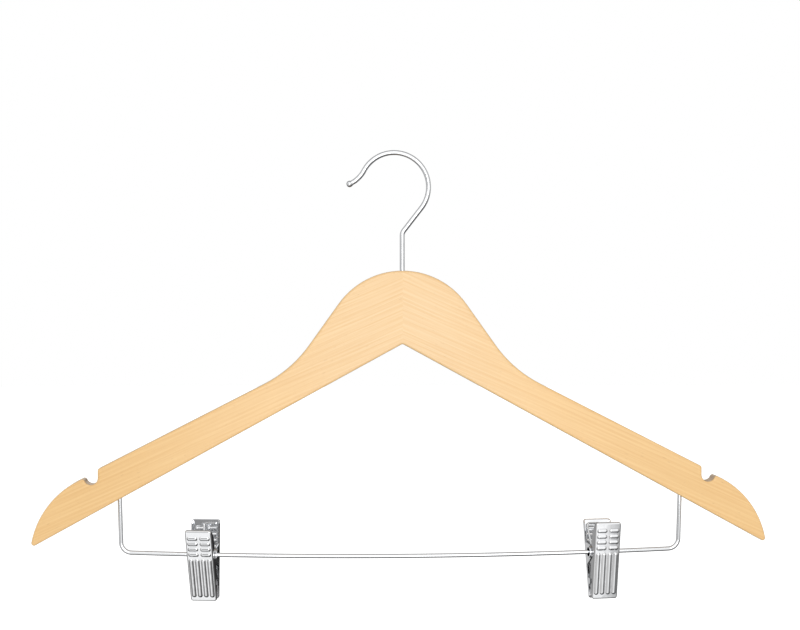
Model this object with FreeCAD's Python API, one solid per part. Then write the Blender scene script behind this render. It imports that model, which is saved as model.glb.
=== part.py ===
import FreeCAD, Part
import math
import os

Vector = FreeCAD.Vector

# A wooden skirt hanger: two glued arms, a swivel hook, a drop bar and two spring clips on the bar.
# Millimetres and degrees. X runs along the arms, Y from the front to the back, Z up.
# The origin lies on the hook's swivel axis, where a rail touches the inside of the hook.

cut_overrun = 4.0               # how far a cutter runs past the face that it opens

# Wooden arms
arm_thickness = 12.0            # front face to back face
arm_half_span = 223.1           # swivel axis to the sharp corner of a tip
arm_edge_round = 1.2            # rounding along the front and back edges
crown_drop = 69.9               # rail down to the top of the crown
crown_radius = 47.5
flank_angle = 54.5              # slope of the straight flank under the crown
neck_radius = 75.0              # hollow between the flank and the shoulder
shoulder_drop = 25.8            # crown down to where the shoulder's line meets the swivel axis
shoulder_angle = 27.05
centre_depth = 44.4             # crown down to the corner of the underside
under_angle = 28.68
under_corner_radius = 2.0
tip_radius = 52.0               # round end of an arm, past the notch
tip_corner_radius = 1.6
notch_inset = 35.9              # sharp corner of a tip back to the middle of its strap notch
notch_radius = 4.0
notch_sink = 3.3                # shoulder's line down to the centre of the notch's round floor
notch_corner_radius = 1.6

# Glued finger joint between the arms
finger_length = 9.0
finger_shoulder = 1.5           # plain butt joint at the front and back faces
finger_count = 2

# Swivel hook
hook_wire = 3.0
hook_radius = 20.9              # centre line of the round bow
hook_offset = 4.85              # swivel axis to the centre of the bow
hook_heel_angle = 37.7          # below the level of the bow's centre, where the straight neck starts
hook_bend_radius = 5.0          # bend between the neck and the upright shank
hook_tail_angle = 152.0         # end of the bow, round from the right hand side
hook_tail_radius = 18.3         # flare of the free end
hook_tail_turn = 38.0
hook_bead = 4.0                 # rounded bead on the free end
shank_clearance = 0.15          # all round the shank in the wood

# Washer and nut in the counterbore under the crown
counterbore = 8.0
counterbore_depth = 12.0        # up from the corner of the underside
washer_diameter = 7.4
washer_thickness = 0.8
nut_across_flats = 5.5
nut_thickness = 2.4
nut_clearance = 0.02            # all round the thread
swivel_clearance = 0.1          # washer to nut
shank_tail = 1.5                # how far the shank shows below the nut

# Drop bar
bar_wire = 2.6
leg_inset = 52.4                # sharp corner of a tip back to where a leg leaves the wood
leg_lean = 1.8                  # inward lean of the legs on their way down
leg_length = 32.4               # wood down to the sharp corner of leg and bar
leg_embed = 11.0                # length of leg in the wood
leg_clearance = 0.1             # all round the leg in its hole
leg_hole_spare = 0.3            # hole beyond the end of the leg
bar_sag = 3.5                   # corners down to the middle of the bar
bar_corner_radius = 6.5

# Clips
left_clip_inset = 50.1          # top of a leg in to the middle of the clip beside it
right_clip_inset = 47.7
clip_turn = 7.6                 # how far each clip is turned away from the middle
left_clip_tilt = 9.8            # front handle lowered
right_clip_tilt = -2.0

# Jaws, pressed from sheet. The walls of the narrower front jaw pass inside the rear jaw's ears.
sheet = 0.45
front_top_width = 16.1
front_bottom_width = 16.0
handle_length = 20.9            # pivot up to the top edge, along the plate
jaw_length = 27.3               # pivot down to the lip, along the plate
plate_depth = 8.9               # pivot to the outer face of the plate
splay_angle = 12.0              # plate from the clip's middle plane
plate_top_radius = 1.6
plate_bottom_radius = 1.5
fold_radius = 0.9               # outside of the fold between plate and walls
rim_depth = 1.8                 # turned rim along the top edge
front_wall_depth = 6.2
front_wall_run = 8.0            # top edge down to where a front jaw's walls have their full depth
front_wall_low = 9.0            # pivot down to where they start to narrow towards the lip
rear_wall_depth = 3.2
rear_wall_run = 2.6
lip_height = 1.3
jaw_gap = 0.3                   # between the lips of a closed clip
tab_drop = 17.4                 # pivot down to the middle of the tab on a rear jaw's wall
tab_height = 2.4
tab_reach = 1.5                 # past the clip's middle plane
tab_slant = 1.0                 # height over which the wall's edge runs out to the tab
ear_radius = 4.5
ear_top_base = 6.5              # pivot up to where an ear leaves its wall
ear_low_base = 7.4              # pivot down to where an ear leaves its wall
ear_gap = 0.1                   # between a front jaw's wall and the rear jaw's ear beside it
ear_band = 1.0                  # overlap of an ear and its wall

# Pressed pattern of the plates
thumb_rows = 4
thumb_row_pitch = 3.62
thumb_row_start = 5.0           # pivot up to the lowest row of thumb bars
thumb_length = 7.0
thumb_spacing = 7.5             # between the two columns
thumb_round = 1.65
thumb_height = 0.8
rib_count = 4
rib_pitch = 3.7
rib_top_rise = 2.6              # pivot up to the top of a rib
rib_length = 27.5
rib_round = 1.9
rib_height = 0.8
drawn_sheet = 0.4               # sheet left over the pressed pattern

# Pivot tube
tube_outer = 6.4
tube_inner = 5.6
tube_clearance = 0.06           # all round the tube in the ears
tube_head = 7.4
tube_head_thickness = 0.35
tube_end_clearance = 0.15       # ear to head

# Torsion spring
spring_wire = 1.2
spring_clearance = 0.3          # coil to tube
spring_pitch = 1.7
spring_full_turns = 2
spring_leg_reach = 18.2         # pivot up to the end of a leg, along the plate
spring_leg_clearance = 0.15     # leg to plate
spring_foot_length = 7.4        # bent end of a leg, which lies along the plate
spring_foot_radius = 1.5
left_spring_shift = 2.05        # middle of the tube to the middle of the coil, to the right
right_spring_shift = -2.9
spring_arcs_per_turn = 4
spring_checks_per_arc = 12      # points on each arc where the coil's gap to itself is measured

touch_share = 0.001             # of a size, within which a point counts as on an edge

origin = Vector(0.0, 0.0, 0.0)
x_axis = Vector(1.0, 0.0, 0.0)
y_axis = Vector(0.0, 1.0, 0.0)
z_axis = Vector(0.0, 0.0, 1.0)

crown_z = -crown_drop
under_z = crown_z - centre_depth
notch_reach = arm_half_span - notch_inset
leg_reach = arm_half_span - leg_inset
notch_z = crown_z - shoulder_drop - notch_reach * math.tan(math.radians(shoulder_angle)) - notch_sink
rear_step = sheet + ear_gap


def heading(angle):
    turn = math.radians(angle)
    return Vector(math.cos(turn), 0.0, math.sin(turn))


def unit(vector):
    return vector / vector.Length


def arc(centre, radius, start_angle, end_angle):
    angles = (start_angle, (start_angle + end_angle) / 2, end_angle)
    return Part.Arc(*[centre + heading(angle) * radius for angle in angles]).toShape()


def arc_about(centre, first, last):
    middle = centre + unit((first - centre) + (last - centre)) * (first - centre).Length
    return Part.Arc(first, middle, last).toShape()


def corner_arc(before, corner, after, radius):
    first = unit(corner - before)
    last = unit(after - corner)
    turn = first.getAngle(last)
    tangent = radius * math.tan(turn / 2)
    centre = corner + unit(last - first) * (radius / math.cos(turn / 2))
    start = corner - first * tangent
    end = corner + last * tangent
    return start, end, arc_about(centre, start, end)


def crossing(point, direction, other, other_direction):
    across = other_direction.cross(y_axis)
    return point + direction * ((other - point).dot(across) / direction.dot(across))


def mirrored(edges):
    return [edge.mirror(origin, x_axis) for edge in edges]


def loop(edges):
    return Part.Wire(Part.__sortEdges__(edges))


def rod(start, direction, length, diameter):
    return Part.makeCylinder(diameter / 2, length, start, direction)


def swept_wire(edges, start, direction, diameter):
    path = Part.Wire(Part.__sortEdges__(edges))
    section = Part.Wire(Part.makeCircle(diameter / 2, start, direction))
    return path.makePipeShell([section], True, False)


# Wooden arms

def under_at(x):
    return Vector(x, 0.0, under_z - x * math.tan(math.radians(under_angle)))


def arm_corners():
    inner = notch_reach - notch_radius
    shoulder = Vector(0.0, 0.0, crown_z - shoulder_drop)
    return {
        "notch": crossing(shoulder, heading(-shoulder_angle), Vector(inner, 0.0, 0.0), z_axis),
        "lip": Vector(notch_reach + notch_radius, 0.0, notch_z),
        "tip": under_at(arm_half_span),
    }


def upper_edges(notch_corner):
    crown_centre = Vector(0.0, 0.0, crown_z - crown_radius)
    flank_start = crown_centre + heading(90 - flank_angle) * crown_radius
    shoulder = Vector(0.0, 0.0, crown_z - shoulder_drop)
    corner = crossing(flank_start, heading(-flank_angle), shoulder, heading(-shoulder_angle))
    tangent = neck_radius * math.tan(math.radians(flank_angle - shoulder_angle) / 2)
    flank_end = corner - heading(-flank_angle) * tangent
    shoulder_start = corner + heading(-shoulder_angle) * tangent
    neck_centre = flank_end + heading(90 - flank_angle) * neck_radius
    return [
        arc(crown_centre, crown_radius, 90, 90 - flank_angle),
        Part.makeLine(flank_start, flank_end),
        arc(neck_centre, neck_radius, 270 - flank_angle, 270 - shoulder_angle),
        Part.makeLine(shoulder_start, notch_corner),
    ]


def tip_edge(lip, tip):
    middle = (lip + tip) / 2
    half_chord = (tip - lip).Length / 2
    inward = unit(y_axis.cross(tip - lip))
    centre = middle + inward * math.sqrt(tip_radius ** 2 - half_chord ** 2)
    return arc_about(centre, lip, tip)


def half_outline():
    corners = arm_corners()
    floor_centre = Vector(notch_reach, 0.0, notch_z)
    floor_start = floor_centre - x_axis * notch_radius
    return upper_edges(corners["notch"]) + [
        Part.makeLine(corners["notch"], floor_start),
        arc(floor_centre, notch_radius, 180, 360),
        tip_edge(corners["lip"], corners["tip"]),
        Part.makeLine(corners["tip"], under_at(0.0)),
    ]


def edges_through(shape, point):
    return [edge for edge in shape.Edges
            if edge.distToShape(Part.Vertex(point))[0] < arm_edge_round * touch_share]


def rounded_corners(board):
    radii = {"notch": notch_corner_radius, "lip": notch_corner_radius, "tip": tip_corner_radius}
    for name, corner in arm_corners().items():
        other = Vector(-corner.x, 0.0, corner.z)
        board = board.makeFillet(radii[name], edges_through(board, corner) + edges_through(board, other))
    return board.makeFillet(under_corner_radius, edges_through(board, under_at(0.0)))


def face_edges(board):
    half = arm_thickness / 2
    return [edge for edge in board.Edges
            if all(abs(abs(vertex.Y) - half) < arm_edge_round * touch_share for vertex in edge.Vertexes)
            and abs(abs(edge.CenterOfMass.y) - half) < arm_edge_round * touch_share]


def arm_board():
    half = half_outline()
    outline = loop(half + mirrored(half))
    outline.translate(y_axis * (-arm_thickness / 2))
    board = Part.Face(outline).extrude(y_axis * arm_thickness)
    board = rounded_corners(board)
    return board.makeFillet(arm_edge_round, face_edges(board))


def seam_points():
    half = arm_thickness / 2
    first = finger_shoulder - half
    step = (arm_thickness - 2 * finger_shoulder) / (2 * finger_count)
    points = [Vector(0.0, -half - cut_overrun, 0.0), Vector(0.0, first, 0.0)]
    for index in range(2 * finger_count):
        side = 1 if index % 2 == 0 else -1
        points.append(Vector(side * finger_length / 2, first + step * (index + 1 / 2), 0.0))
    return points + [Vector(0.0, -first, 0.0), Vector(0.0, half + cut_overrun, 0.0)]


def half_space(side):
    seam = seam_points()
    far = side * (arm_half_span + cut_overrun)
    corners = [Vector(far, seam[-1].y, 0.0), Vector(far, seam[0].y, 0.0)]
    top = crown_z + cut_overrun
    bottom = under_at(arm_half_span).z - cut_overrun
    section = Part.makePolygon(seam + corners + seam[:1])
    section.translate(z_axis * bottom)
    return Part.Face(section).extrude(z_axis * (top - bottom))


def arm_holes():
    below = under_at(0.0) - z_axis * cut_overrun
    shank = rod(below, z_axis, centre_depth + 2 * cut_overrun, hook_wire + 2 * shank_clearance)
    sink = rod(below, z_axis, counterbore_depth + cut_overrun, counterbore)
    holes = [shank, sink]
    for side in (-1, 1):
        foot, down = leg_foot(side)
        mouth = foot + down * cut_overrun
        depth = leg_embed + leg_hole_spare + cut_overrun
        holes.append(rod(mouth, down * -1, depth, bar_wire + 2 * leg_clearance))
    return holes


def make_arms():
    board = arm_board().cut(arm_holes())
    return {"left_arm": board.common(half_space(-1)), "right_arm": board.common(half_space(1))}


# Swivel hook

def shank_end_z():
    seat = under_z + counterbore_depth - washer_thickness - swivel_clearance
    return seat - nut_thickness - shank_tail


def make_hook():
    drop = math.sqrt((hook_radius - hook_wire / 2) ** 2 - hook_offset ** 2)
    bow_centre = Vector(-hook_offset, 0.0, -drop)
    heel = bow_centre + heading(-hook_heel_angle) * hook_radius
    neck = heading(-hook_heel_angle - 90)
    corner = crossing(heel, neck, origin, z_axis)
    tangent = hook_bend_radius * math.tan(math.radians(hook_heel_angle) / 2)
    bend_start = corner - neck * tangent
    bend_end = corner - z_axis * tangent
    bend_centre = bend_end + x_axis * hook_bend_radius
    tail_centre = bow_centre + heading(hook_tail_angle) * (hook_radius + hook_tail_radius)
    tail_start = hook_tail_angle + 180
    tail_end = tail_start - hook_tail_turn
    end = Vector(0.0, 0.0, shank_end_z())
    path = [
        Part.makeLine(end, bend_end),
        arc(bend_centre, hook_bend_radius, 180, 180 - hook_heel_angle),
        Part.makeLine(bend_start, heel),
        arc(bow_centre, hook_radius, -hook_heel_angle, hook_tail_angle),
        arc(tail_centre, hook_tail_radius, tail_start, tail_end),
    ]
    wire = swept_wire(path, end, z_axis, hook_wire)
    bead = Part.makeSphere(hook_bead / 2, tail_centre + heading(tail_end) * hook_tail_radius)
    return {"hook": wire.fuse(bead)}


def make_hook_fasteners():
    seat = under_z + counterbore_depth
    low = Vector(0.0, 0.0, seat - washer_thickness)
    washer = rod(low, z_axis, washer_thickness, washer_diameter)
    washer = washer.cut(rod(low, z_axis, washer_thickness, hook_wire + 2 * shank_clearance))
    nut_low = low - z_axis * (swivel_clearance + nut_thickness)
    corner_radius = nut_across_flats / math.sqrt(3)
    corners = [Vector(math.cos(math.radians(60 * k)), math.sin(math.radians(60 * k)), 0.0) * corner_radius
               for k in range(7)]
    hexagon = Part.Face(Part.makePolygon(corners)).extrude(z_axis * nut_thickness)
    hexagon.translate(nut_low)
    nut = hexagon.cut(rod(nut_low, z_axis, nut_thickness, hook_wire + 2 * nut_clearance))
    return {"hook_washer": washer, "hook_nut": nut}


# Drop bar

def leg_foot(side):
    foot = under_at(leg_reach)
    lean = math.radians(leg_lean)
    down = Vector(-math.sin(lean) * side, 0.0, -math.cos(lean))
    return Vector(foot.x * side, 0.0, foot.z), down


def bar_bow():
    foot, down = leg_foot(1)
    corner = foot + down * leg_length
    radius = (corner.x ** 2 + bar_sag ** 2) / (2 * bar_sag)
    return Vector(0.0, 0.0, corner.z - bar_sag + radius), radius


def bar_at(x):
    centre, radius = bar_bow()
    return Vector(x, 0.0, centre.z - math.sqrt(radius ** 2 - x ** 2))


def leg_and_corner():
    foot, down = leg_foot(1)
    bow_centre, bow_radius = bar_bow()
    inward = y_axis.cross(down) if y_axis.cross(down).x < 0 else down.cross(y_axis)
    from_bow = foot + inward * bar_corner_radius - bow_centre
    along = from_bow.dot(down)
    reach = math.sqrt(along ** 2 - from_bow.dot(from_bow) + (bow_radius - bar_corner_radius) ** 2)
    centre = bow_centre + from_bow + down * (reach - along)
    leg_end = centre - inward * bar_corner_radius
    bow_end = bow_centre + (centre - bow_centre) * (bow_radius / (bow_radius - bar_corner_radius))
    leg_top = foot - down * leg_embed
    return leg_top, bow_end, [Part.makeLine(leg_top, leg_end), arc_about(centre, leg_end, bow_end)]


def make_drop_bar():
    leg_top, bow_end, side = leg_and_corner()
    bow = arc_about(bar_bow()[0], bow_end, Vector(-bow_end.x, 0.0, bow_end.z))
    down = leg_foot(1)[1]
    return {"drop_bar": swept_wire(side + [bow] + mirrored(side), leg_top, down, bar_wire)}


# Jaws of the clips, made upright with the pivot at the origin and the plate towards +Y

def rounded_loop(corners, radii):
    count = len(corners)
    rounds = [corner_arc(corners[k - 1], corners[k], corners[(k + 1) % count], radii[k])
              for k in range(count)]
    lines = [Part.makeLine(rounds[k - 1][1], rounds[k][0]) for k in range(count)]
    return loop([edge for start, end, edge in rounds] + lines)


def half_width_at(z, step_out):
    share = (z + jaw_length) / (handle_length + jaw_length)
    return (front_bottom_width + (front_top_width - front_bottom_width) * share) / 2 + step_out


def plate_face(step_out):
    top = half_width_at(handle_length, step_out)
    bottom = half_width_at(-jaw_length, step_out)
    corners = [Vector(top, plate_depth, handle_length), Vector(-top, plate_depth, handle_length),
               Vector(-bottom, plate_depth, -jaw_length), Vector(bottom, plate_depth, -jaw_length)]
    radii = [plate_top_radius, plate_top_radius, plate_bottom_radius, plate_bottom_radius]
    return rounded_loop(corners, radii)


def middle_y(z):
    splay = math.radians(splay_angle)
    return jaw_gap / 2 / math.cos(splay) - z * math.tan(splay)


def side_point(y, z):
    return Vector(0.0, y, z)


def wall_profile(depth, run, jaw_edge):
    lip_z = lip_height - jaw_length
    points = [
        side_point(plate_depth, handle_length),
        side_point(plate_depth - rim_depth, handle_length),
        side_point(plate_depth - depth, handle_length - run),
        *jaw_edge,
        side_point(middle_y(lip_z), lip_z),
        side_point(middle_y(-jaw_length), -jaw_length),
        side_point(plate_depth, -jaw_length),
    ]
    return Part.makePolygon(points + points[:1])


def front_wall():
    edge = plate_depth - front_wall_depth
    return wall_profile(front_wall_depth, front_wall_run, [side_point(edge, -front_wall_low)])


def rear_wall():
    edge = plate_depth - rear_wall_depth
    tab_top = tab_height / 2 - tab_drop
    tab_low = -tab_height / 2 - tab_drop
    return wall_profile(rear_wall_depth, rear_wall_run, [
        side_point(edge, tab_top + tab_slant),
        side_point(middle_y(tab_top) - tab_reach, tab_top),
        side_point(middle_y(tab_low) - tab_reach, tab_low),
        side_point(edge, tab_low - tab_slant),
        side_point(edge, lip_height - jaw_length),
    ])


def touch_angle(point, way):
    return math.atan2(point.z, point.y) + way * math.acos(ear_radius / math.hypot(point.y, point.z))


def ear_profile(wall_depth):
    root_y = plate_depth - wall_depth + ear_band
    top = side_point(root_y, ear_top_base)
    low = side_point(root_y, -ear_low_base)
    start = touch_angle(top, 1)
    end = touch_angle(low, -1) + 2 * math.pi
    touches = [side_point(ear_radius * math.cos(angle), ear_radius * math.sin(angle))
               for angle in (start, (start + end) / 2, end)]
    lines = [Part.makeLine(low, top), Part.makeLine(top, touches[0]), Part.makeLine(touches[2], low)]
    return loop(lines + [Part.Arc(*touches).toShape()])


def across(profile, start_x, end_x):
    face = Part.Face(profile)
    face.translate(x_axis * start_x)
    return face.extrude(x_axis * (end_x - start_x))


def pressed_tray(step_out, profiles):
    outline = plate_face(step_out)
    inner = outline.makeOffset2D(-sheet)
    depth = y_axis * -(plate_depth + ear_radius + cut_overrun)
    ring = Part.Face(outline).extrude(depth).cut(Part.Face(inner).extrude(depth))
    reach = half_width_at(handle_length, step_out) + cut_overrun
    walls = [ring.common(across(profile, -reach, reach)) for profile in profiles]
    tray = Part.Face(outline).extrude(y_axis * -sheet).fuse(walls).removeSplitter()
    folds = [edge for edge in tray.Edges
             if all(abs(vertex.Y - plate_depth) < sheet * touch_share for vertex in edge.Vertexes)]
    return tray.makeFillet(fold_radius, folds)


def capsule(length, radius, direction, centre):
    start = z_axis * (radius - length / 2)
    end = z_axis * (length / 2 - radius)
    side = x_axis * radius
    edges = [
        Part.makeLine(start - z_axis * radius, end + z_axis * radius),
        arc(end, radius, 90, 0),
        Part.makeLine(end + side, start + side),
        arc(start, radius, 0, -90),
    ]
    solid = Part.Face(loop(edges)).revolve(origin, z_axis, 360)
    solid.Placement = FreeCAD.Placement(centre, FreeCAD.Rotation(z_axis, direction))
    return solid


def outside_of_plate():
    half = half_width_at(-jaw_length, 0.0)
    corner = Vector(-half, plate_depth - sheet, -jaw_length)
    return Part.makeBox(2 * half, sheet + cut_overrun, jaw_length + handle_length, corner)


def pressed_pattern():
    raised = []
    hollow = []
    outside = outside_of_plate()

    def press(length, radius, height, direction, x, z):
        centre = Vector(x, plate_depth + height - radius, z)
        raised.append(capsule(length, radius, direction, centre).common(outside))
        hollow.append(capsule(length - 2 * drawn_sheet, radius - drawn_sheet, direction, centre))

    for row in range(thumb_rows):
        for side in (-1, 1):
            z = thumb_row_start + thumb_row_pitch * row
            press(thumb_length, thumb_round, thumb_height, x_axis, side * thumb_spacing / 2, z)
    for index in range(rib_count):
        x = rib_pitch * (index - (rib_count - 1) / 2)
        press(rib_length, rib_round, rib_height, z_axis, x, rib_top_rise - rib_length / 2)
    return raised, hollow


def pivot_hole():
    half = half_width_at(0.0, rear_step) + cut_overrun
    return rod(x_axis * -half, x_axis, 2 * half, tube_outer + 2 * tube_clearance)


def finished_jaw(jaw):
    raised, hollow = pressed_pattern()
    jaw = jaw.fuse(raised).cut(hollow + [pivot_hole()]).removeSplitter()
    jaw.rotate(origin, x_axis, -splay_angle)
    return jaw


def make_front_jaw():
    jaw = finished_jaw(pressed_tray(0.0, [front_wall(), ear_profile(front_wall_depth)]))
    jaw.rotate(origin, z_axis, 180)
    return jaw


def make_rear_jaw():
    return finished_jaw(pressed_tray(rear_step, [rear_wall(), ear_profile(rear_wall_depth)]))


# Pivot tube and torsion spring

def make_tube():
    ear_face = half_width_at(ear_radius, rear_step) + tube_end_clearance
    half = ear_face + tube_head_thickness
    solids = [rod(x_axis * -half, x_axis, 2 * half, tube_outer)]
    for side in (-1, 1):
        solids.append(rod(x_axis * side * ear_face, x_axis * side, tube_head_thickness, tube_head))
    return solids[0].fuse(solids[1:]).cut(rod(x_axis * -half, x_axis, 2 * half, tube_inner)).removeSplitter()


def biarc(first, first_heading, last, last_heading):
    chord = last - first
    both = first_heading + last_heading
    a = 2 * (first_heading.dot(last_heading) - 1)
    b = -2 * chord.dot(both)
    c = chord.dot(chord)
    reach = (-b - math.sqrt(b * b - 4 * a * c)) / (2 * a)
    controls = (first + first_heading * reach, last - last_heading * reach)
    joint = (controls[0] + controls[1]) / 2
    arcs = []
    for start, control, end in ((first, controls[0], joint), (joint, controls[1], last)):
        weight = (end - start).Length / (2 * reach)
        middle = (start + control * (2 * weight) + end) / (2 + 2 * weight)
        arcs.append(Part.Arc(start, middle, end).toShape())
    return arcs


def spring_foot(coil_end, leg_end):
    tip = leg_end + x_axis * spring_foot_length
    start, end, bend = corner_arc(coil_end, leg_end, tip, spring_foot_radius)
    return [Part.makeLine(coil_end, start), bend, Part.makeLine(end, tip)]


def spring_path():
    radius = tube_outer / 2 + spring_clearance + spring_wire / 2
    splay = math.radians(splay_angle)
    seat_y = plate_depth - sheet - spring_wire / 2 - spring_leg_clearance
    leg_y = seat_y * math.cos(splay) + spring_leg_reach * math.sin(splay)
    leg_z = spring_leg_reach * math.cos(splay) - seat_y * math.sin(splay)
    leg_distance = math.hypot(leg_y, leg_z)
    start_angle = math.atan2(leg_z, leg_y) - math.acos(radius / leg_distance)
    sweep = math.pi + 2 * start_angle + 2 * math.pi * spring_full_turns
    rise = spring_pitch / (2 * math.pi)
    leg_run = math.sqrt(leg_distance ** 2 - radius ** 2) * math.hypot(rise, radius) / radius
    steps = math.ceil(sweep / (2 * math.pi) * spring_arcs_per_turn)

    def at(angle):
        turned = start_angle - angle
        return Vector(rise * (angle - sweep / 2), radius * math.cos(turned), radius * math.sin(turned))

    def direction(angle):
        turned = start_angle - angle
        return unit(Vector(rise, radius * math.sin(turned), -radius * math.cos(turned)))

    leg = spring_foot(at(0.0), at(0.0) - direction(0.0) * leg_run)
    edges = leg + [edge.rotated(origin, z_axis, 180) for edge in leg]
    for step in range(steps):
        a = sweep * step / steps
        b = sweep * (step + 1) / steps
        edges += biarc(at(a), direction(a), at(b), direction(b))
    return Part.__sortEdges__(edges)


def least_self_gap(edges):
    points = []
    travelled = 0.0
    for edge in edges:
        line = edge.discretize(spring_checks_per_arc)
        points += [(travelled + edge.Length * k / len(line), point) for k, point in enumerate(line)]
        travelled += edge.Length
    apart = math.pi * tube_outer / 2
    return min((p - q).Length for s, p in points for t, q in points if t - s > apart) - spring_wire


def make_spring():
    edges = spring_path()
    print("coil spring, least gap to itself: %.2f mm" % least_self_gap(edges))
    path = Part.Wire(edges)
    start = path.OrderedVertexes[0].Point
    first = path.OrderedEdges[0]
    direction = first.tangentAt(first.FirstParameter)
    return swept_wire(edges, start, direction, spring_wire)


def make_clips():
    pieces = {
        "front_jaw": make_front_jaw(),
        "rear_jaw": make_rear_jaw(),
        "pivot_tube": make_tube(),
        "spring": make_spring(),
    }
    clips = (
        ("left", left_clip_tilt, -clip_turn, bar_at(left_clip_inset - leg_reach), left_spring_shift),
        ("right", right_clip_tilt, clip_turn, bar_at(leg_reach - right_clip_inset), right_spring_shift),
    )
    nodes = {}
    for name, tilt, turn, place, spring_shift in clips:
        shifts = {"spring": spring_shift}
        for piece, shape in pieces.items():
            placed = shape.copy()
            placed.translate(x_axis * shifts.get(piece, 0.0))
            placed.rotate(origin, x_axis, tilt)
            placed.rotate(origin, z_axis, turn)
            placed.translate(place)
            nodes["%s_clip_%s" % (name, piece)] = placed
    return nodes


def main():
    nodes = {}
    for made in (make_arms(), make_hook(), make_hook_fasteners(), make_drop_bar(), make_clips()):
        nodes.update(made)
    os.makedirs("parts", exist_ok=True)
    for name, shape in nodes.items():
        facts = (name, len(shape.Solids), shape.isValid(), shape.Volume)
        print("%-24s solids %d valid %s volume %.2f" % facts)
        shape.Solids[0].exportStep("parts/%s.step" % name)


main()
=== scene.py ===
import math

import bmesh
import bpy
from mathutils import Matrix, Vector


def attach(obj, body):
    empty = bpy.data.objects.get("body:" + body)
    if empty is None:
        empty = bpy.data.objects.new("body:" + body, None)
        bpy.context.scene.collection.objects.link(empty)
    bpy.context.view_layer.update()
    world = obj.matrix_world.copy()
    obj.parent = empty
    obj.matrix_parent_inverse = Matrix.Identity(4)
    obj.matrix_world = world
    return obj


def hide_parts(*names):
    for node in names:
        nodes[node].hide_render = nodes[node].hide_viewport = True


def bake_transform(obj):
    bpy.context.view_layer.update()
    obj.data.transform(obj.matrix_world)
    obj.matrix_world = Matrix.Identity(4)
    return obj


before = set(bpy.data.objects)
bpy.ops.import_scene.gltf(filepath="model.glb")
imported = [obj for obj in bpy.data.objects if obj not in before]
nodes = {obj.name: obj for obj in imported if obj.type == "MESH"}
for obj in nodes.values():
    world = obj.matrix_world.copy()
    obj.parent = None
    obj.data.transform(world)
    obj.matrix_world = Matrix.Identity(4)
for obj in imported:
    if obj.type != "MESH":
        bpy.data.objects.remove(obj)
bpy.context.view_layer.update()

mm = 0.001
print("frame loaded:", len(nodes), "nodes")


# shader maths as Python: a Val is one output socket
class Val:
    def __init__(self, tree, socket):
        self.tree = tree
        self.socket = socket

    def math(self, operation, *values):
        node = self.tree.nodes.new("ShaderNodeMath")
        node.operation = operation
        for slot, value in zip(node.inputs, values):
            if isinstance(value, Val):
                self.tree.links.new(value.socket, slot)
            else:
                slot.default_value = value
        return Val(self.tree, node.outputs[0])

    def __add__(self, other): return self.math("ADD", self, other)
    def __radd__(self, other): return self.math("ADD", other, self)
    def __sub__(self, other): return self.math("SUBTRACT", self, other)
    def __rsub__(self, other): return self.math("SUBTRACT", other, self)
    def __mul__(self, other): return self.math("MULTIPLY", self, other)
    def __rmul__(self, other): return self.math("MULTIPLY", other, self)
    def __truediv__(self, other): return self.math("DIVIDE", self, other)
    def __pow__(self, other): return self.math("POWER", self, other)
    def __abs__(self): return self.math("ABSOLUTE", self)
    def __neg__(self): return self.math("MULTIPLY", self, -1.0)

    def between(self, low, high):  # 0 below low, 1 above high, smooth in between
        node = self.tree.nodes.new("ShaderNodeMapRange")
        node.interpolation_type = "SMOOTHSTEP"
        self.tree.links.new(self.socket, node.inputs["Value"])
        node.inputs["From Min"].default_value = low
        node.inputs["From Max"].default_value = high
        return Val(self.tree, node.outputs["Result"])


# a node tree to write a finish in
class Finish:
    def __init__(self, name, tree=None):
        if tree is None:
            self.material = bpy.data.materials.new(name)
            self.material.use_nodes = True
            tree = self.material.node_tree
        tree.nodes.clear()
        self.tree = tree

    def node(self, kind, settings=None, values=None, out=0):
        node = self.tree.nodes.new(kind)
        for key, value in (settings or {}).items():
            if key == "stops":
                ramp = node.color_ramp.elements
                while len(ramp) < len(value):
                    ramp.new(0.5)
                for stop, (place, colour) in zip(ramp, value):
                    stop.position = place
                    stop.color = (*colour, 1.0)
            else:
                setattr(node, key, value)
        for key, value in (values or {}).items():
            if isinstance(value, Val):
                self.tree.links.new(value.socket, node.inputs[key])
            else:
                node.inputs[key].default_value = value
        return Val(self.tree, node.outputs[out]) if node.outputs else None

    def mix(self, share, first, second, blend="MIX"):
        first, second = [v if isinstance(v, Val) else (*v, 1.0) for v in (first, second)]
        settings = {"data_type": "RGBA", "blend_type": blend}
        return self.node("ShaderNodeMix", settings, {0: share, 6: first, 7: second}, 2)

    def split(self, vector):
        parts = self.node("ShaderNodeSeparateXYZ", None, {0: vector})
        return [Val(self.tree, s) for s in parts.socket.node.outputs]

    def join(self, x, y, z):
        return self.node("ShaderNodeCombineXYZ", None, {0: x, 1: y, 2: z})

    def noise(self, vector, scale=1.0, detail=2.0, roughness=0.5):
        values = {"Vector": vector, "Scale": scale, "Detail": detail, "Roughness": roughness}
        return self.node("ShaderNodeTexNoise", None, values, "Fac")

    def bump(self, height, strength, distance, under=None):
        values = {"Height": height, "Strength": strength, "Distance": distance}
        if under:
            values["Normal"] = under
        return self.node("ShaderNodeBump", None, values)

    def surface(self, values):
        shader = self.node("ShaderNodeBsdfPrincipled", None, values)
        self.node("ShaderNodeOutputMaterial", None, {"Surface": shader})
        return self.material


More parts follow.
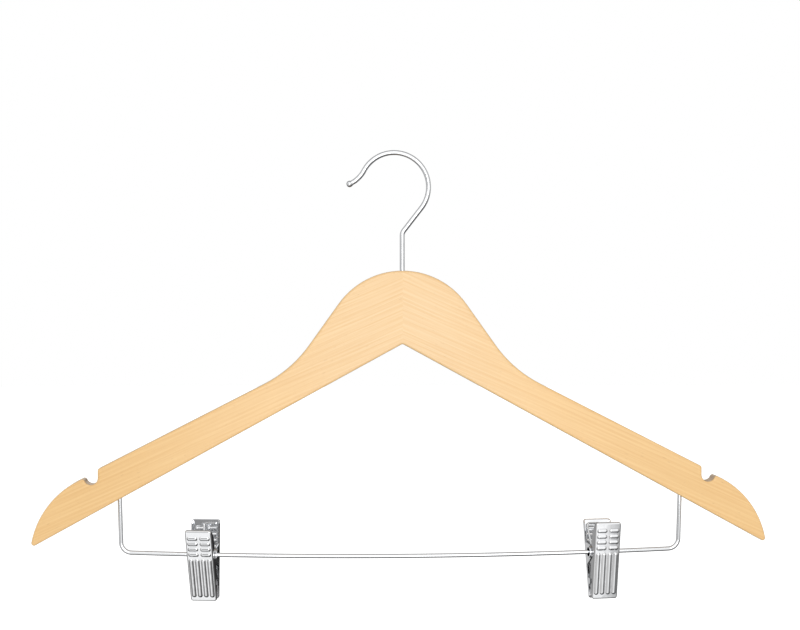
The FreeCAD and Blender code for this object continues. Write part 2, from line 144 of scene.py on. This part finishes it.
# wood of the two arms
wood = {
    "crownSheenTint": (0.89, 0.625, 0.325),     # painted sheen: paler, less saturated tint at the crown in place of the soft box's reflection
    "warm": (0.905, 0.59, 0.25),      # out along the arms
    "crownSheenReach": (0.015, 0.10),
    "line": (0.78, 0.45, 0.16),
    "fleck": (0.56, 0.31, 0.13),
    "grainAngle": 24.0,        # slope of the grain, down towards the tip
    "ringTurn": 24.0,          # growth rings against the front face
    "lineGap": 2.1 * mm,
    "lineStrength": 0.36,
    "streakStrength": 0.24,
    "fibreStrength": 0.36,
    "fleckStrength": 0.4,
    "edge": (0.55, 0.40, 0.25),       # painted shade: narrow faces drawn darker and greyer, as they take less light than the front
    "edgeRange": (0.1, 0.7),
    "edgeShade": 0.7,
    "endShade": 0.3,           # end grain is darker still
    "endPower": 4.0,
    "roughness": 0.42,
    "coat": 0.6,
    "coatRoughness": 0.2,
    "drift": 8.0 * mm,         # how far the rings wander
    "jitter": 1.3,
    "jitterScale": (3.0, 180.0),
    "ringPower": 1.6,
    "ringLeast": 0.4,
    "broadShare": 0.2,
    "reliefStrength": 0.25,
    "relief": 0.06 * mm,
    "fleckDepth": 0.6,         # against the rings and fibres, which share the relief
    "fibreRough": 0.07,
    "ringRough": 0.05,
    "fleckBare": 0.2,
    # noise patterns: scales along, through and across the grain, where the seed goes, detail, range kept
    "patterns": {
        "drift": ((5.0, 9.0, 14.0), 1, 1.0, None),
        "broad": ((9.0, 20.0, 40.0), 0, 3.0, (0.25, 0.75)),
        "patch": ((14.0, 30.0, 50.0), 2, 1.0, (0.3, 0.7)),
        "streak": ((11.0, 300.0, 1050.0), 2, 1.0, (0.4, 0.68)),
        "fibre": ((38.0, 900.0, 2100.0), 2, 2.0, (0.35, 0.75)),
        "spots": ((230.0, 1500.0, 1500.0), 0, 0.0, (0.77, 0.84)),
    },
}


def makeWood(name, side, seed):
    s = wood
    f = Finish(name)
    x, y, z = f.split(f.node("ShaderNodeTexCoord", out="Object"))
    nx, ny, nz = f.split(f.node("ShaderNodeTexCoord", out="Normal"))
    turn = math.radians(s["grainAngle"])
    along = x * (side * math.cos(turn)) - z * math.sin(turn)
    across = x * (side * math.sin(turn)) + z * math.cos(turn)
    ring = math.radians(s["ringTurn"])

    def pattern(key):
        scales, seeded, detail, kept = s["patterns"][key]
        place = [way * scale for way, scale in zip((along, y, across), scales)]
        place[seeded] = place[seeded] + seed
        noise = f.noise(f.join(*place), detail=detail)
        return noise.between(*kept) if kept else noise

    depth = across * math.cos(ring) + y * math.sin(ring) + (pattern("drift") - 0.5) * s["drift"]
    broad, fibre, spots = pattern("broad"), pattern("fibre"), pattern("spots")
    outer = abs(x).between(*s["crownSheenReach"])
    alongScale, depthScale = s["jitterScale"]
    jitter = f.noise(f.join(along * alongScale, seed, depth * depthScale), detail=1.0) * s["jitter"]
    wave = x.math("SINE", (depth / s["lineGap"] + jitter) * (2 * math.pi)) * 0.5 + 0.5
    rings = wave ** s["ringPower"] * (pattern("patch") * (1 - s["ringLeast"]) + s["ringLeast"])

    # painted sheen: the crown takes the paler tint, out along the arms the warm one
    colour = f.mix(outer * (1 - s["broadShare"]) + broad * s["broadShare"], s["crownSheenTint"], s["warm"])
    colour = f.mix(rings * s["lineStrength"], colour, s["line"])
    colour = f.mix(pattern("streak") * s["streakStrength"], colour, s["line"])
    colour = f.mix(fibre * s["fibreStrength"], colour, s["line"])
    colour = f.mix(spots * s["fleckStrength"], colour, s["fleck"])

    narrow = 1 - abs(ny)
    end = abs(nx * (side * math.cos(turn)) - nz * math.sin(turn))
    # painted shade on the narrow faces
    colour = f.mix(narrow.between(*s["edgeRange"]) * s["edgeShade"], colour, s["edge"])
    shade = 1 - end ** s["endPower"] * s["endShade"]
    colour = f.mix(1.0, colour, f.join(shade, shade, shade), "MULTIPLY")

    grain = (rings + fibre) * 0.5 - spots * s["fleckDepth"]
    return f.surface({
        "Base Color": colour,
        "Roughness": s["roughness"] + fibre * s["fibreRough"] + rings * s["ringRough"],
        "Coat Weight": s["coat"] - spots * s["fleckBare"],
        "Coat Roughness": s["coatRoughness"],
        "Normal": f.bump(grain, s["reliefStrength"], s["relief"]),
    })


def dress(name, material):
    obj = nodes[name]
    obj.data.materials.clear()
    obj.data.materials.append(material)


dress("left_arm", makeWood("wood_left", -1, 3.1))
dress("right_arm", makeWood("wood_right", 1, 8.7))
print("arms dressed")


# where each clip hangs: pivot and shift of the coil in mm, turns in degrees, crown of the front plate
clips = {
    "left": {"pivot": (-120.6, 0.0, -241.794), "turn": -7.6, "tilt": 9.8, "shift": 2.05, "crown": 0.0},
    "right": {"pivot": (123.0, 0.0, -241.723), "turn": 7.6, "tilt": -2.0, "shift": -2.9, "crown": 4.6},
}


def clipPlace(side):
    place = clips[side]
    move = Matrix.Translation(Vector(place["pivot"]) * mm)
    move = move @ Matrix.Rotation(math.radians(place["turn"]), 4, "Z")
    return move @ Matrix.Rotation(math.radians(place["tilt"]), 4, "X")


# bright plated metals: colour, roughness, how much wear adds to it, strength and scale of the fine grain
metals = {
    "chrome": ((0.86, 0.87, 0.885), 0.05, 0.05, 0.05, 900.0),
    "clipChrome": ((0.92, 0.93, 0.945), 0.05, 0.06, 0.06, 700.0),
    "zinc": ((0.62, 0.63, 0.62), 0.26, 0.16, 0.16, 1400.0),
    "springSteel": ((0.74, 0.75, 0.76), 0.13, 0.1, 0.1, 1600.0),
}
plating = {
    "cloudScale": 130.0,
    "cloudRange": (0.35, 0.7),
    "dull": 0.9,               # a dull cloud against the bright colour
    "dullShare": 0.6,
    "grainRange": (0.55, 0.75),
    "grainDepth": 0.04 * mm,
}
sheet = {
    "sway": 0.07 * mm,         # how far the clips' sheet is from dead flat
    "swayScale": 240.0,
    # painted shade on the flanks of the front jaw's pressed forms
    "flankShade": (0.42, 0.40, 0.385),
    "flankShadeShare": 0.4,
    "flank": (0.06, 0.5),
    # grey of the bare cut edge, also used as painted shade on the front jaw's side walls
    "bareAndWallShade": (0.3, 0.3, 0.31),
    "wallShare": 0.6,
    "wall": (0.75, 0.95),
    "cutShare": 0.85,
    "cut": (0.8, 0.95),
    "cutReach": (7.4 * mm, 7.7 * mm),     # pivot out to the cut edge, and to the plate behind it
    "splay": 12.0,
}


def makeMetal(name, side=None, jaw=None):
    s = plating
    bright, roughness, wear, strength, scale = metals[name]
    f = Finish(name)
    place = f.node("ShaderNodeTexCoord", out="Object")
    cloud = f.noise(place, s["cloudScale"], 3.0).between(*s["cloudRange"])
    fine = f.noise(place, scale, 2.0, 0.6)
    colour = f.mix(cloud * s["dullShare"], bright, [c * s["dull"] for c in bright])
    normal = f.bump(fine, strength, s["grainDepth"])
    if name == "clipChrome":
        normal = f.bump(f.noise(place, sheet["swayScale"], 1.0), 1.0, sheet["sway"], normal)
    if jaw:
        x, y, z = f.split(place)
        nx, ny, nz = f.split(f.node("ShaderNodeTexCoord", out="Normal"))
        pivot = clipPlace(side).translation
    if jaw == "rear":          # the cut edge of the sheet is bare
        splay = math.radians(sheet["splay"])
        out = clipPlace(side).to_3x3() @ Vector((0.0, math.cos(splay), -math.sin(splay)))
        reach = (x - pivot.x) * out.x + (y - pivot.y) * out.y + (z - pivot.z) * out.z
        facing = abs(nx * out.x + ny * out.y + nz * out.z)
        cut = facing.between(*sheet["cut"]) * (1 - reach.between(*sheet["cutReach"]))
        colour = f.mix(cut * sheet["cutShare"], colour, sheet["bareAndWallShade"])
    if jaw == "front":         # painted shade: flanks and side walls of the pressed forms drawn darker, in place of dark reflections
        turn = math.radians(clips[side]["turn"])
        lean = abs(nx * math.cos(turn) + ny * math.sin(turn))
        colour = f.mix(lean.between(*sheet["flank"]) * sheet["flankShadeShare"], colour, sheet["flankShade"])
        # painted shade: the front jaw's side walls drawn dark grey
        colour = f.mix(lean.between(*sheet["wall"]) * sheet["wallShare"], colour, sheet["bareAndWallShade"])
        offset = (x - pivot.x) * math.cos(turn) + y * math.sin(turn)
        normal = f.bump(offset * offset * -clips[side]["crown"], 1.0, 1.0, normal)
    return f.surface({
        "Base Color": colour,
        "Metallic": 1.0,
        "Roughness": roughness + (cloud + fine.between(*s["grainRange"])) * (wear / 2),
        "Normal": normal,
    })


finishes = {name: makeMetal(name) for name in metals}
for side in clips:
    for jaw in ("front", "rear"):
        dress("%s_clip_%s_jaw" % (side, jaw), makeMetal("clipChrome", side, jaw))
    dress(side + "_clip_pivot_tube", finishes["clipChrome"])
dress("hook_washer", finishes["zinc"])
dress("hook_nut", finishes["zinc"])
print("metals ready:", ", ".join(metals))


# round wire along a line of points, with a radius for each point, closed by a face at each end
def wireMesh(name, points, radii, sides, material):
    mesh = bmesh.new()
    count = len(points)
    heads = [(points[min(k + 1, count - 1)] - points[max(k - 1, 0)]).normalized() for k in range(count)]
    across = heads[0].orthogonal().normalized()
    rings = []
    for k in range(count):
        if k:
            across = heads[k - 1].rotation_difference(heads[k]) @ across
        across = (across - heads[k] * across.dot(heads[k])).normalized()
        other = heads[k].cross(across)
        ring = []
        for j in range(sides):
            turn = 2 * math.pi * j / sides
            radius = radii(k, turn) if callable(radii) else radii[k]
            outward = across * math.cos(turn) + other * math.sin(turn)
            ring.append(mesh.verts.new(points[k] + outward * radius))
        rings.append(ring)
    for first, second in zip(rings, rings[1:]):
        for j in range(sides):
            mesh.faces.new((first[j], first[j - 1], second[j - 1], second[j]))
    mesh.faces.new(rings[0])
    mesh.faces.new(rings[-1][::-1])
    bmesh.ops.recalc_face_normals(mesh, faces=mesh.faces)
    data = bpy.data.meshes.new(name)
    mesh.to_mesh(data)
    mesh.free()
    for face in data.polygons:
        face.use_smooth = len(face.vertices) == 4
    data.materials.append(material)
    obj = bpy.data.objects.new(name, data)
    bpy.context.scene.collection.objects.link(obj)
    return obj


def heading(degrees):
    turn = math.radians(degrees)
    return Vector((math.cos(turn), 0.0, math.sin(turn)))


def run(start, end, step):
    count = max(1, round((end - start).length / step))
    return [start.lerp(end, k / count) for k in range(count + 1)]


def bend(centre, radius, first, last, step):
    count = max(2, round(abs(math.radians(last - first)) * radius / step))
    return [centre + heading(first + (last - first) * k / count) * radius for k in range(count + 1)]


def joined(*lines):
    points = list(lines[0])
    for line in lines[1:]:
        points += [p for p in line if (p - points[-1]).length > 1e-6]
    return points


# swivel hook: threaded shank, bent neck, round bow, flared end with a bead
hook = {
    "wire": 3.0 * mm,
    "radius": 20.9 * mm,
    "offset": 4.85 * mm,
    "heel": 37.7,
    "neckBend": 5.0 * mm,
    "tailAngle": 152.0,
    "tailRadius": 18.3 * mm,
    "tailTurn": 38.0,
    "bead": 4.0 * mm,
    "tip": 0.02 * mm,
    "shankEnd": -107.1 * mm,
    "thread": 5.6 * mm,         # threaded length at the lower end
    "threadPitch": 0.5 * mm,
    "threadDepth": 0.22 * mm,
    "threadStart": 0.35,
    "step": 0.6 * mm,
    "capSteps": 12,
    "sides": 40,
}


def makeHook():
    s = hook
    half = s["wire"] / 2
    drop = math.sqrt((s["radius"] - half) ** 2 - s["offset"] ** 2)
    bow = Vector((-s["offset"], 0.0, -drop))
    heel = bow + heading(-s["heel"]) * s["radius"]
    neck = heading(-s["heel"] - 90)
    corner = heel - neck * (heel.x / neck.x)
    tangent = s["neckBend"] * math.tan(math.radians(s["heel"]) / 2)
    top = corner - Vector((0.0, 0.0, tangent))
    tail = bow + heading(s["tailAngle"]) * (s["radius"] + s["tailRadius"])
    tailStart = s["tailAngle"] + 180
    tailEnd = tailStart - s["tailTurn"]
    foot = Vector((0.0, 0.0, s["shankEnd"]))
    threadTop = foot + Vector((0.0, 0.0, s["thread"]))
    points = joined(
        run(foot, threadTop, s["threadPitch"] / 10),
        run(threadTop, top, s["step"]),
        bend(top + Vector((s["neckBend"], 0.0, 0.0)), s["neckBend"], 180, 180 - s["heel"], s["step"] / 2),
        run(corner - neck * tangent, heel, s["step"]),
        bend(bow, s["radius"], -s["heel"], s["tailAngle"], s["step"]),
        bend(tail, s["tailRadius"], tailStart, tailEnd, s["step"] / 6),
    )
    end = points[-1]
    way = (points[-1] - points[-2]).normalized()
    bead = s["bead"] / 2
    quarter = math.pi / 2 / s["capSteps"]
    points += [end + way * (bead * math.sin(quarter * (k + 1))) for k in range(s["capSteps"])]
    lengths = [0.0]
    for a, b in zip(points, points[1:]):
        lengths.append(lengths[-1] + (b - a).length)
    ballAt = lengths[-1] - bead

    def radius(k, turn):
        travelled = lengths[k]
        if travelled < s["thread"]:
            turns = travelled / s["threadPitch"]
            wave = (turns - turn / (2 * math.pi)) % 1.0
            fade = min(1.0, s["thread"] / s["threadPitch"] - turns, s["threadStart"] + turns)
            return half - s["threadDepth"] * fade * abs(2 * wave - 1)
        ball = math.sqrt(max(bead ** 2 - (travelled - ballAt) ** 2, 0.0))
        if travelled > ballAt:
            return max(ball, s["tip"])
        return max(half, ball)

    return wireMesh("hook_wire", points, radius, s["sides"], finishes["chrome"])


# drop bar: two legs in the wood, rounded corners, a bar that sags a little
bar = {
    "wire": 2.6 * mm,
    "foot": Vector((170.7 * mm, 0.0, -207.663 * mm)),   # where a leg leaves the wood
    "lean": 1.8,
    "length": 32.4 * mm,
    "embed": 11.0 * mm,
    "sag": 3.5 * mm,
    "corner": 6.5 * mm,
    "step": 1.2 * mm,
    "sides": 36,
}


def makeBar():
    s = bar
    foot = s["foot"]
    lean = math.radians(s["lean"])
    down = Vector((-math.sin(lean), 0.0, -math.cos(lean)))
    inward = Vector((-math.cos(lean), 0.0, math.sin(lean)))
    corner = foot + down * s["length"]
    radius = (corner.x ** 2 + s["sag"] ** 2) / (2 * s["sag"])
    bow = Vector((0.0, 0.0, corner.z - s["sag"] + radius))
    offset = foot + inward * s["corner"] - bow
    along = offset.dot(down)
    reach = math.sqrt(along ** 2 - offset.dot(offset) + (radius - s["corner"]) ** 2)
    centre = bow + offset + down * (reach - along)
    low = centre - bow
    lowAngle = math.degrees(math.atan2(low.z, low.x))
    half = joined(
        run(foot - down * s["embed"], centre - inward * s["corner"], s["step"]),
        bend(centre, s["corner"], -s["lean"], lowAngle, s["step"] / 3),
        bend(bow, radius, lowAngle, -90, s["step"]),
    )
    points = half + [Vector((-p.x, 0.0, p.z)) for p in half[-2::-1]]
    radii = [s["wire"] / 2] * len(points)
    return wireMesh("drop_bar_wire", points, radii, s["sides"], finishes["chrome"])


for made, node, body in ((makeHook(), "hook", "hook"), (makeBar(), "drop_bar", "frame")):
    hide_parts(node)
    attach(made, body)
print("hook and drop bar wired")


# torsion springs of the clips: a coil round the tube and a leg with a bent foot behind each plate
spring = {
    "wire": 1.2 * mm,
    "radius": 4.1 * mm,
    "pitch": 1.7 * mm,
    "turns": 2,
    "seat": 7.7 * mm,           # tube's axis to the middle of the wire against a plate
    "reach": 18.2 * mm,
    "splay": 12.0,
    "foot": 7.4 * mm,
    "footBend": 1.5 * mm,
    "sides": 20,
    "step": 0.12 * mm,
    "legStep": 0.6 * mm,
    "footSteps": 14,
    "hold": 0.62 * mm,          # end of the coil that stays straight with its leg
}


def springLines():
    s = spring
    splay = math.radians(s["splay"])
    legY = s["seat"] * math.cos(splay) + s["reach"] * math.sin(splay)
    legZ = s["reach"] * math.cos(splay) - s["seat"] * math.sin(splay)
    far = math.hypot(legY, legZ)
    start = math.atan2(legZ, legY) - math.acos(s["radius"] / far)
    sweep = math.pi + 2 * start + 2 * math.pi * s["turns"]
    rise = s["pitch"] / (2 * math.pi)
    legRun = math.sqrt(far ** 2 - s["radius"] ** 2) * math.hypot(rise, s["radius"]) / s["radius"]

    def at(angle):
        turned = start - angle
        around = Vector((0.0, math.cos(turned), math.sin(turned))) * s["radius"]
        return around + Vector((rise * (angle - sweep / 2), 0.0, 0.0))

    count = round(sweep * s["radius"] / s["step"])
    coil = [at(sweep * k / count) for k in range(count + 1)]
    way = Vector((rise, s["radius"] * math.sin(start), -s["radius"] * math.cos(start))).normalized()
    knee = coil[0] - way * legRun
    footWay = Vector((1.0, 0.0, 0.0))
    half = (-way).angle(footWay) / 2
    tangent = s["footBend"] * math.tan(half)
    centre = knee + (footWay + way).normalized() * (s["footBend"] / math.cos(half))
    first = knee + way * tangent
    arcFrom = first - centre
    spin = arcFrom.cross(knee + footWay * tangent - centre).normalized()
    stepTurn = 2 * half / s["footSteps"]
    arc = [centre + Matrix.Rotation(stepTurn * k, 3, spin) @ arcFrom for k in range(s["footSteps"] + 1)]
    toe = run(arc[-1], knee + footWay * s["foot"], s["legStep"])
    leg = joined(run(coil[0], first, s["legStep"]), arc, toe)
    halfTurn = Matrix.Rotation(math.pi, 3, "Z")
    return coil, leg, [halfTurn @ p for p in leg]


def makeSprings():
    s = spring
    coil, rearLeg, frontLeg = springLines()
    for side in clips:
        move = clipPlace(side) @ Matrix.Translation((clips[side]["shift"] * mm, 0.0, 0.0))
        rear, front = side + "_clip_rear", side + "_clip_front"
        made = []
        for name, line in (("coil", coil), ("rear_leg", rearLeg), ("front_leg", frontLeg)):
            points = [move @ p for p in line]
            radii = [s["wire"] / 2] * len(points)
            piece = "%s_spring_%s" % (side, name)
            made.append(wireMesh(piece, points, radii, s["sides"], finishes["springSteel"]))
        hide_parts(side + "_clip_spring")
        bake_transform(made[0])
        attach(made[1], rear)
        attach(made[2], front)


makeSprings()
print("springs wound")


# camera where the photographer stood
camera = {
    "place": (-0.04756, -0.9388, -0.0968),
    "turn": -2.9,
    "lens": 69.435,
    "sensor": 36.0,
    "shift": -0.00275,
    "nearest": 0.01,
}
cameraData = bpy.data.cameras.new("camera")
cameraData.lens = camera["lens"]
cameraData.sensor_width = camera["sensor"]
cameraData.shift_x = camera["shift"]
cameraData.clip_start = camera["nearest"]
cameraObject = bpy.data.objects.new("camera", cameraData)
cameraObject.location = camera["place"]
cameraObject.rotation_euler = (math.pi / 2, 0.0, math.radians(camera["turn"]))
bpy.context.scene.collection.objects.link(cameraObject)
bpy.context.scene.camera = cameraObject
bpy.context.scene.view_settings.view_transform = "Standard"

# soft box beside the camera
softBox = {"place": (0.09, -1.75, -0.05), "aim": (0.0, 0.0, -0.12), "size": 0.7, "radiance": 3.3}
lamp = bpy.data.lights.new("soft_box", "AREA")
lamp.size = softBox["size"]
lamp.energy = softBox["radiance"] * math.pi * softBox["size"] ** 2
lampObject = bpy.data.objects.new("soft_box", lamp)
lampObject.location = softBox["place"]
lampWay = Vector(softBox["aim"]) - Vector(softBox["place"])
lampObject.rotation_euler = lampWay.to_track_quat("-Z", "Y").to_euler()
bpy.context.scene.collection.objects.link(lampObject)

# white studio: even light, with darker walls that only polished metal shows
studio = {
    "front": 0.82,
    "back": 0.60,
    "top": 0.24,
    "walls": {                 # by the way out from the camera's side, 0 to the right, 90 up:
                               # degrees towards the back, grey level
        12: ((0, 1.12), (46, 1.12), (66, 0.75), (90, 0.55), (138, 0.55), (148, 0.04), (171, 0.04),
             (177, 0.9)),
        57: ((0, 1.12), (60, 1.12), (78, 0.5), (110, 0.4), (160, 0.4), (176, 0.9)),
        102: ((0, 1.12), (68, 1.12), (80, 0.45), (104, 0.34), (158, 0.36), (174, 0.9)),
        147: ((0, 1.12), (66, 1.12), (86, 0.55), (120, 0.42), (160, 0.45), (174, 0.9)),
        192: ((0, 1.12), (34, 1.12), (46, 0.72), (72, 0.64), (90, 0.52), (138, 0.45), (147, 0.55),
              (164, 0.62), (174, 0.9)),
        237: ((0, 1.12), (20, 1.12), (28, 0.7), (40, 0.75), (48, 1.2), (60, 1.2), (67, 0.5), (78, 0.3),
              (90, 0.16), (110, 0.08), (150, 0.12), (174, 0.9)),
        282: ((0, 1.12), (46, 1.12), (56, 0.4), (64, 0.06), (146, 0.06), (164, 0.3), (174, 0.9)),
        327: ((0, 1.12), (34, 1.12), (41, 0.62), (48, 0.32), (58, 0.2), (110, 0.14), (140, 0.04),
              (171, 0.04), (177, 0.9)),
    },
    "cloud": 0.12,             # broad unevenness of the walls
    "cloudScale": 3.0,
    "cloudRange": (0.35, 0.65),
    "card": (-0.36, -0.93, -0.05),      # a dark card left of the camera
    "cardSize": (0.955, 0.985),         # cosine of its half width outside and inside its soft edge
    "cardShade": 0.72,
}


def makeStudio():
    s = studio
    world = bpy.data.worlds.new("studio")
    world.use_nodes = True
    bpy.context.scene.world = world
    f = Finish("studio", world.node_tree)
    way = f.node("ShaderNodeTexCoord", out="Generated")
    x, y, z = f.split(way)
    turn = y.math("ARCCOSINE", -y) / math.pi
    flat = x * x + z * z + 1e-6
    level = 0.0
    for degrees, steps in s["walls"].items():
        out = heading(degrees)
        stops = [(angle / 180, (grey / 2,) * 3) for angle, grey in steps]
        wall = f.node("ShaderNodeValToRGB", {"stops": stops}, {"Fac": turn}) * 2.0
        lean = x * out.x + z * out.z
        lean = lean.math("MAXIMUM", lean, 0.0)
        share = lean * lean * 2.0 / flat - 1.0        # fades to none 45 degrees to either side
        level = level + wall * share.math("MAXIMUM", share, 0.0) ** 2.0
    cloud = f.noise(way, s["cloudScale"], 1.0).between(*s["cloudRange"])
    level = level * (1 - cloud * s["cloud"])
    toCard = {0: way, 1: Vector(s["card"]).normalized()}
    card = f.node("ShaderNodeVectorMath", {"operation": "DOT_PRODUCT"}, toCard, "Value")
    level = level * (1 - card.between(*s["cardSize"]) * s["cardShade"])
    even = s["back"] + (s["front"] - s["back"]) * (0.5 - y * 0.5)
    even = even + z.math("MAXIMUM", z, 0.0) * s["top"]
    paths = f.node("ShaderNodeLightPath").socket.node.outputs
    glossy, seen = [Val(f.tree, paths[kind]) for kind in ("Is Glossy Ray", "Is Camera Ray")]
    light = f.mix(glossy, f.join(even, even, even), f.join(level, level, level))
    light = f.mix(seen, light, (1.0, 1.0, 1.0))
    back = f.node("ShaderNodeBackground", None, {"Color": light, "Strength": 1.0})
    f.node("ShaderNodeOutputWorld", None, {"Surface": back})


makeStudio()

# pale floor under the hanging part
floor = {"drop": -0.42, "half": 6.0, "colour": (0.9, 0.9, 0.9), "lift": 0.45}


def makeFloor():
    s = floor
    mesh = bpy.data.meshes.new("floor")
    h = s["half"]
    corners = [(x, y, s["drop"]) for x, y in ((-h, -h), (h, -h), (h, h), (-h, h))]
    mesh.from_pydata(corners, [], [(0, 1, 2, 3)])
    f = Finish("floor")
    matt = f.node("ShaderNodeBsdfDiffuse", None, {"Color": (*s["colour"], 1.0)})
    glow = f.node("ShaderNodeEmission", None, {"Color": (1.0, 1.0, 1.0, 1.0), "Strength": s["lift"]})
    both = f.node("ShaderNodeAddShader", None, {0: matt, 1: glow})
    seen = f.node("ShaderNodeLightPath", out="Is Camera Ray")
    shown = f.node("ShaderNodeMixShader", None, {0: seen, 1: matt, 2: both})
    f.node("ShaderNodeOutputMaterial", None, {"Surface": shown})
    mesh.materials.append(f.material)
    obj = bpy.data.objects.new("floor", mesh)
    obj.visible_glossy = False
    bpy.context.scene.collection.objects.link(obj)


makeFloor()
print("camera, lamps and floor set")
